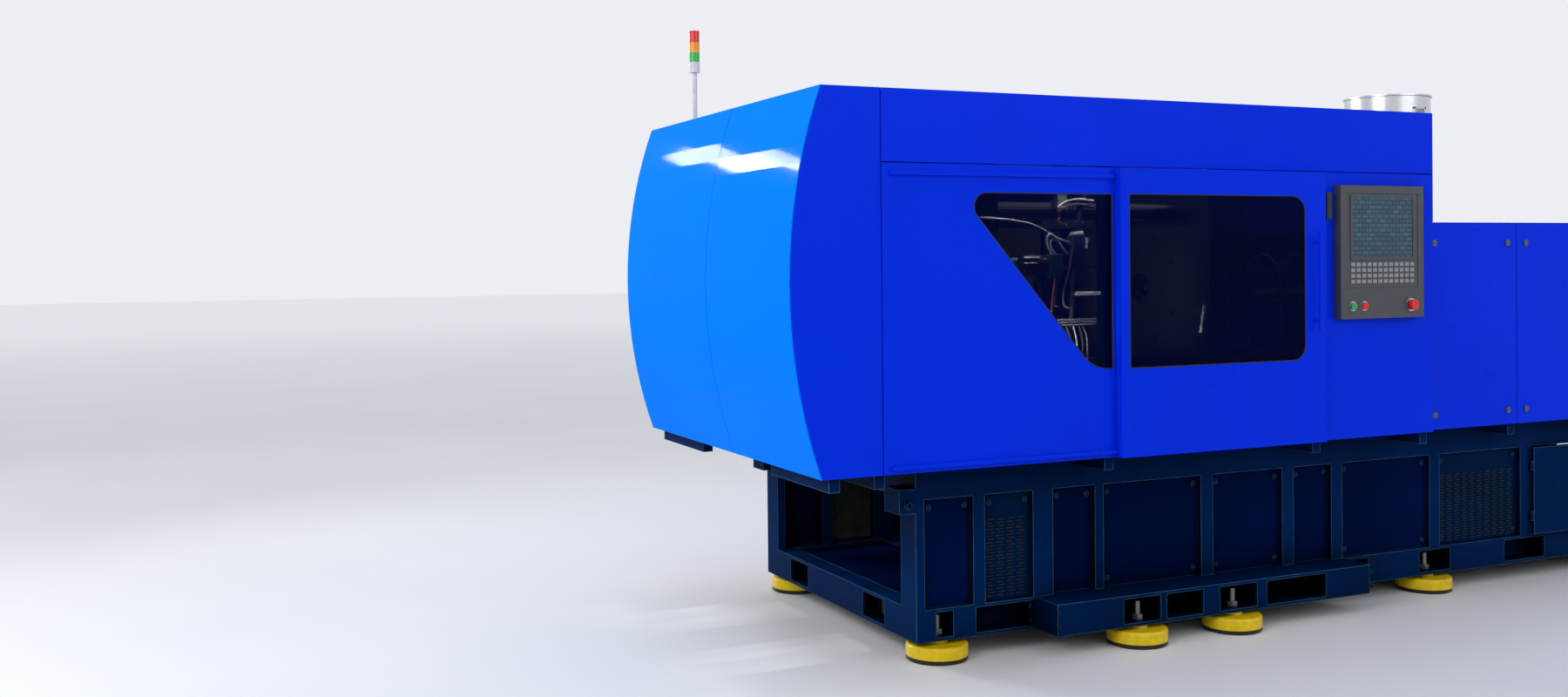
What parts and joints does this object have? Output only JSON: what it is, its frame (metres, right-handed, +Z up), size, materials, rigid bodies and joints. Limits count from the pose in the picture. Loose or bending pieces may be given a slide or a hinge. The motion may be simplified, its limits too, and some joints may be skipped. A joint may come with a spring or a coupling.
{
  "type": "injection moulding machine",
  "caption": "Electric horizontal injection moulding machine with a bulging end cover, toggle clamp, tie bars, sliding gates, injection unit, hopper and levelling pads.",
  "frame": {"origin": "on the floor, under the middle of the machine's length and width", "axes": "+X from the clamp end to the injection end, +Y from the operator side to the far side, +Z up"},
  "size_m": [5.6, 1.83, 2.382],
  "materials": {
    "end_paint": "satin",
    "side_paint": "satin",
    "base_paint": "satin",
    "pad_paint": "satin",
    "bolt_steel": "satin",
    "ground_steel": "ground",
    "hard_chrome": "polished",
    "dark_steel": "blackened",
    "casting_paint": "painted",
    "smoked_glass": "smoked",
    "motor_paint": "matt",
    "belt_rubber": "matt",
    "band_steel": "heat tinted",
    "hopper_steel": "brushed",
    "panel_plastic": "matt",
    "lamp_plastic": "gloss",
    "green_plastic": "satin",
    "red_plastic": "satin"
  },
  "bodies": {
    "machine": {"base_frame": "base_paint", "base_panels": "base_paint", "vent_panels": "base_paint", "levelling_pads": "pad_paint", "levelling_bolts": "bolt_steel", "slide_rails": "ground_steel", "cover_frame": "base_paint", "end_cover_near": "end_paint", "end_cover_far": "end_paint", "side_covers": "side_paint", "side_windows": "smoked_glass", "header_panels": "side_paint", "top_covers": "side_paint", "injection_covers": "side_paint", "gate_tracks": "ground_steel", "signal_tower": "lamp_plastic", "control_panel": "panel_plastic", "fixed_platen": "casting_paint", "tie_bars": "hard_chrome"},
    "cabinet_door": {"cabinet_door": "base_paint"},
    "front_gate": {"front_gate": "side_paint", "front_window": "smoked_glass"},
    "rear_gate": {"rear_gate": "side_paint", "rear_window": "smoked_glass"},
    "start_button": {"start_button": "green_plastic"},
    "stop_button": {"stop_button": "red_plastic"},
    "e_stop": {"e_stop": "red_plastic"},
    "toggle_support": {"toggle_support": "casting_paint", "rear_pins": "ground_steel", "clamp_motors": "motor_paint", "clamp_belt": "belt_rubber"},
    "clamp_pulley": {"clamp_pulley": "dark_steel"},
    "motor_pulley": {"motor_pulley": "dark_steel"},
    "ring_gear": {"ring_gear": "dark_steel"},
    "nut_gear_1": {"nut_gear_1": "dark_steel"},
    "nut_gear_2": {"nut_gear_2": "dark_steel"},
    "nut_gear_3": {"nut_gear_3": "dark_steel"},
    "nut_gear_4": {"nut_gear_4": "dark_steel"},
    "height_pinion": {"height_pinion": "dark_steel"},
    "rear_link_upper": {"rear_link_upper": "dark_steel"},
    "front_link_upper": {"front_link_upper": "dark_steel"},
    "rear_link_lower": {"rear_link_lower": "dark_steel"},
    "front_link_lower": {"front_link_lower": "dark_steel"},
    "cross_link_upper": {"cross_link_upper": "dark_steel"},
    "cross_link_lower": {"cross_link_lower": "dark_steel"},
    "crosshead": {"crosshead": "casting_paint", "clamp_screw": "hard_chrome"},
    "moving_platen": {"moving_platen": "casting_paint", "platen_pins": "ground_steel"},
    "ejector": {"ejector": "ground_steel"},
    "injection_carriage": {"injection_carriage": "casting_paint", "barrel": "dark_steel", "heater_bands": "band_steel", "injection_motor": "motor_paint", "hopper": "hopper_steel"},
    "hopper_lid": {"hopper_lid": "hopper_steel"},
    "shutoff_slide": {"shutoff_slide": "ground_steel"},
    "pressure_plate": {"pressure_plate": "casting_paint"},
    "screw": {"screw": "hard_chrome"},
    "purge_guard": {"purge_guard": "dark_steel"}
  },
  "joints": [
    {"name": "mould_height_slide", "type": "slide", "parent": "machine", "child": "toggle_support", "axis": [1, 0, 0], "range_m": [0, 0.25]},
    {"name": "ring_gear_turn", "type": "hinge", "parent": "toggle_support", "child": "ring_gear", "pos_m": [-2.52, 0, 1.3], "axis": [1, 0, 0], "range_deg": [0, 2250]},
    {"name": "nut_gear_1_turn", "type": "hinge", "parent": "toggle_support", "child": "nut_gear_1", "pos_m": [-2.52, -0.305, 0.995], "axis": [1, 0, 0], "range_deg": [-7500, 0]},
    {"name": "nut_gear_2_turn", "type": "hinge", "parent": "toggle_support", "child": "nut_gear_2", "pos_m": [-2.52, 0.305, 0.995], "axis": [1, 0, 0], "range_deg": [-7500, 0]},
    {"name": "nut_gear_3_turn", "type": "hinge", "parent": "toggle_support", "child": "nut_gear_3", "pos_m": [-2.52, 0.305, 1.605], "axis": [1, 0, 0], "range_deg": [-7500, 0]},
    {"name": "nut_gear_4_turn", "type": "hinge", "parent": "toggle_support", "child": "nut_gear_4", "pos_m": [-2.52, -0.305, 1.605], "axis": [1, 0, 0], "range_deg": [-7500, 0]},
    {"name": "height_pinion_turn", "type": "hinge", "parent": "toggle_support", "child": "height_pinion", "pos_m": [-2.52, 0, 1.6871], "axis": [1, 0, 0], "range_deg": [-13500, 0]},
    {"name": "clamp_pulley_spin", "type": "hinge", "parent": "toggle_support", "child": "clamp_pulley", "pos_m": [-2.54, 0, 1.3], "axis": [1, 0, 0], "continuous": true},
    {"name": "motor_pulley_spin", "type": "hinge", "parent": "toggle_support", "child": "motor_pulley", "pos_m": [-2.54, 0.56, 1.3], "axis": [1, 0, 0], "continuous": true},
    {"name": "upper_rear_pivot", "type": "hinge", "parent": "toggle_support", "child": "rear_link_upper", "pos_m": [-2.24, 0, 1.68], "axis": [0, 1, 0], "range_deg": [-75, 0]},
    {"name": "upper_knee", "type": "hinge", "parent": "rear_link_upper", "child": "front_link_upper", "pos_m": [-2.15459, 0, 1.36124], "axis": [0, 1, 0], "range_deg": [0, 150]},
    {"name": "platen_pivot", "type": "hinge", "parent": "front_link_upper", "child": "moving_platen", "pos_m": [-2.06918, 0, 1.68], "axis": [0, 1, 0], "range_deg": [-75, 0]},
    {"name": "ejector_stroke", "type": "slide", "parent": "moving_platen", "child": "ejector", "axis": [1, 0, 0], "range_m": [0, 0.1]},
    {"name": "upper_cross_pivot", "type": "hinge", "parent": "rear_link_upper", "child": "cross_link_upper", "pos_m": [-2.13676, 0, 1.53255], "axis": [0, 1, 0], "range_deg": [0, 150]},
    {"name": "crosshead_pivot", "type": "hinge", "parent": "cross_link_upper", "child": "crosshead", "pos_m": [-2.03351, 0, 1.68], "axis": [0, 1, 0], "range_deg": [-75, 0]},
    {"name": "lower_rear_pivot", "type": "hinge", "parent": "toggle_support", "child": "rear_link_lower", "pos_m": [-2.24, 0, 0.92], "axis": [0, 1, 0], "range_deg": [0, 75]},
    {"name": "lower_knee", "type": "hinge", "parent": "rear_link_lower", "child": "front_link_lower", "pos_m": [-2.15459, 0, 1.23876], "axis": [0, 1, 0], "range_deg": [-150, 0]},
    {"name": "lower_cross_pivot", "type": "hinge", "parent": "rear_link_lower", "child": "cross_link_lower", "pos_m": [-2.13676, 0, 1.06745], "axis": [0, 1, 0], "range_deg": [-150, 0]},
    {"name": "front_gate_slide", "type": "slide", "parent": "machine", "child": "front_gate", "axis": [-1, 0, 0], "range_m": [0, 0.86]},
    {"name": "rear_gate_slide", "type": "slide", "parent": "machine", "child": "rear_gate", "axis": [-1, 0, 0], "range_m": [0, 0.86]},
    {"name": "cabinet_door_hinge", "type": "hinge", "parent": "machine", "child": "cabinet_door", "pos_m": [0.86, -0.6643, 0.415], "axis": [0, 0, -1], "range_deg": [0, 110]},
    {"name": "start_button_press", "type": "slide", "parent": "machine", "child": "start_button", "axis": [0, 1, 0], "range_m": [0, 0.0036], "stiffness_N_per_m": 500, "springref_m": -0.002},
    {"name": "stop_button_press", "type": "slide", "parent": "machine", "child": "stop_button", "axis": [0, 1, 0], "range_m": [0, 0.0036], "stiffness_N_per_m": 500, "springref_m": -0.002},
    {"name": "e_stop_press", "type": "slide", "parent": "machine", "child": "e_stop", "axis": [0, 1, 0], "range_m": [0, 0.0055], "stiffness_N_per_m": 1200, "springref_m": -0.002},
    {"name": "injection_unit_slide", "type": "slide", "parent": "machine", "child": "injection_carriage", "axis": [1, 0, 0], "range_m": [0, 0.3]},
    {"name": "injection_stroke", "type": "slide", "parent": "injection_carriage", "child": "pressure_plate", "axis": [1, 0, 0], "range_m": [0, 0.24]},
    {"name": "screw_spin", "type": "hinge", "parent": "pressure_plate", "child": "screw", "pos_m": [0.2, 0, 1.3], "axis": [1, 0, 0], "continuous": true},
    {"name": "hopper_lid_hinge", "type": "hinge", "parent": "injection_carriage", "child": "hopper_lid", "pos_m": [0.936, 0, 2.176], "axis": [0, 1, 0], "range_deg": [0, 100]},
    {"name": "shutoff_slide_stroke", "type": "slide", "parent": "injection_carriage", "child": "shutoff_slide", "axis": [0, -1, 0], "range_m": [0, 0.084]},
    {"name": "purge_guard_hinge", "type": "hinge", "parent": "machine", "child": "purge_guard", "pos_m": [0.31, 0.259, 1.57], "axis": [-1, 0, 0], "range_deg": [0, 100]}
  ],
  "couplings": [
    {"joint": "mould_height_slide", "follows": "ring_gear_turn", "m_per_rad": 0.0063662},
    {"joint": "nut_gear_1_turn", "follows": "ring_gear_turn", "ratio": -3.3333},
    {"joint": "nut_gear_2_turn", "follows": "ring_gear_turn", "ratio": -3.3333},
    {"joint": "nut_gear_3_turn", "follows": "ring_gear_turn", "ratio": -3.3333},
    {"joint": "nut_gear_4_turn", "follows": "ring_gear_turn", "ratio": -3.3333},
    {"joint": "height_pinion_turn", "follows": "ring_gear_turn", "ratio": -6},
    {"joint": "motor_pulley_spin", "follows": "clamp_pulley_spin", "ratio": 1.6667},
    {"joint": "upper_knee", "follows": "upper_rear_pivot", "ratio": -2},
    {"joint": "platen_pivot", "follows": "upper_rear_pivot", "ratio": 1},
    {"joint": "upper_cross_pivot", "follows": "upper_rear_pivot", "ratio": -2},
    {"joint": "crosshead_pivot", "follows": "upper_rear_pivot", "ratio": 1},
    {"joint": "lower_rear_pivot", "follows": "upper_rear_pivot", "ratio": -1},
    {"joint": "lower_knee", "follows": "upper_rear_pivot", "ratio": 2},
    {"joint": "lower_cross_pivot", "follows": "upper_rear_pivot", "ratio": 2}
  ]
}
